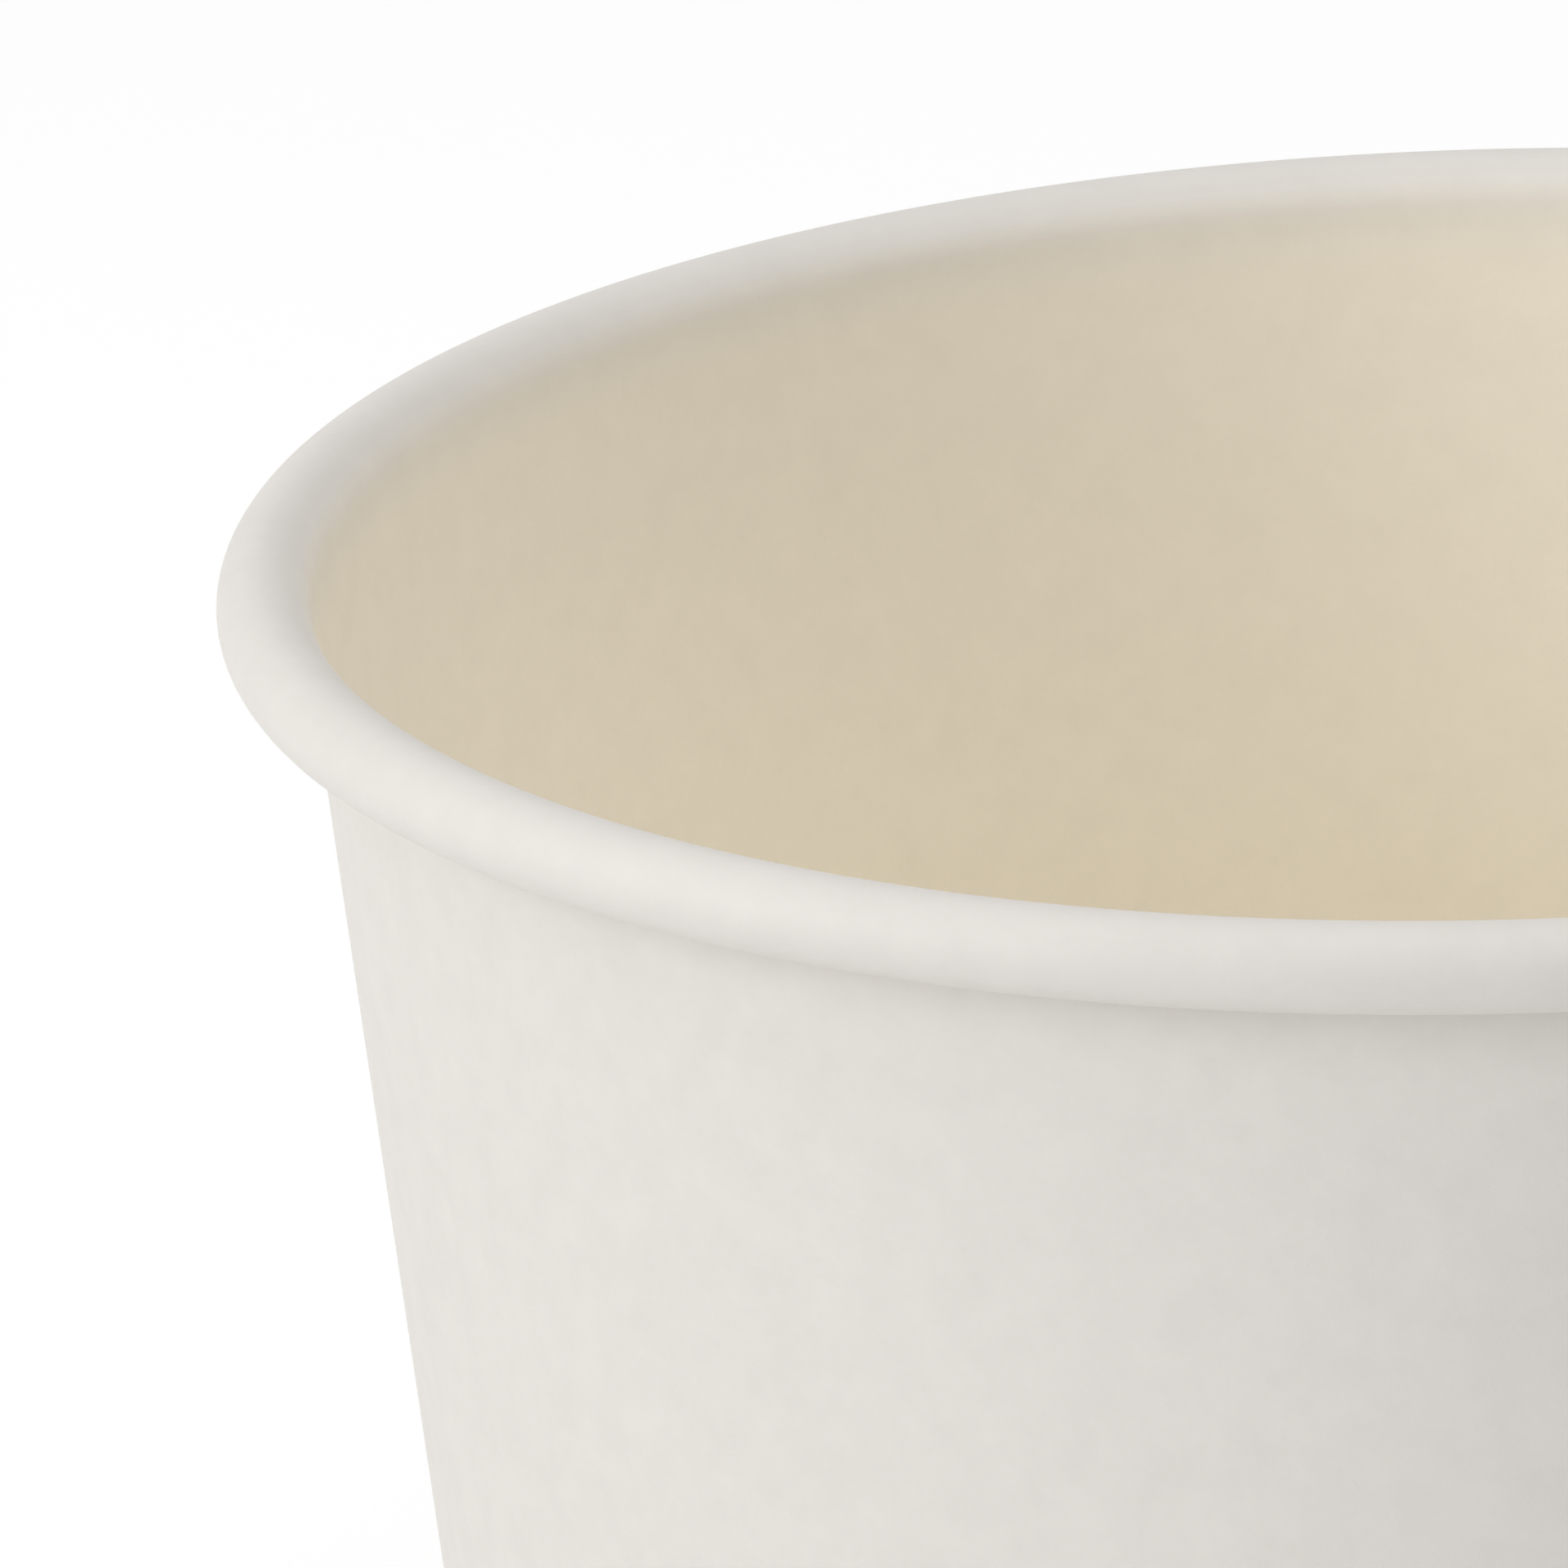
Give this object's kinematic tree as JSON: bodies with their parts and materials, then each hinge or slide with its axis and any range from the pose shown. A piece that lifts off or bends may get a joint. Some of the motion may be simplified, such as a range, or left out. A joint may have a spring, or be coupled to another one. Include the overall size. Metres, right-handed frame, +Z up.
{
  "type": "paper sundae cup",
  "caption": "Plain white paper cup for a sundae or ice cream, with a leaning wall, a rolled rim, a lapped side seam and a recessed base.",
  "frame": {"origin": "middle of the foot, on the surface that the cup stands on", "axes": "+Z up along the cup's axis, towards the mouth; the side seam starts at +X and laps towards +Y"},
  "size_m": [0.09, 0.09, 0.078],
  "materials": {
    "wall_board": "satin",
    "base_board": "satin"
  },
  "bodies": {
    "root": {"side_wall": "wall_board", "base_disc": "base_board"}
  },
  "joints": []
}
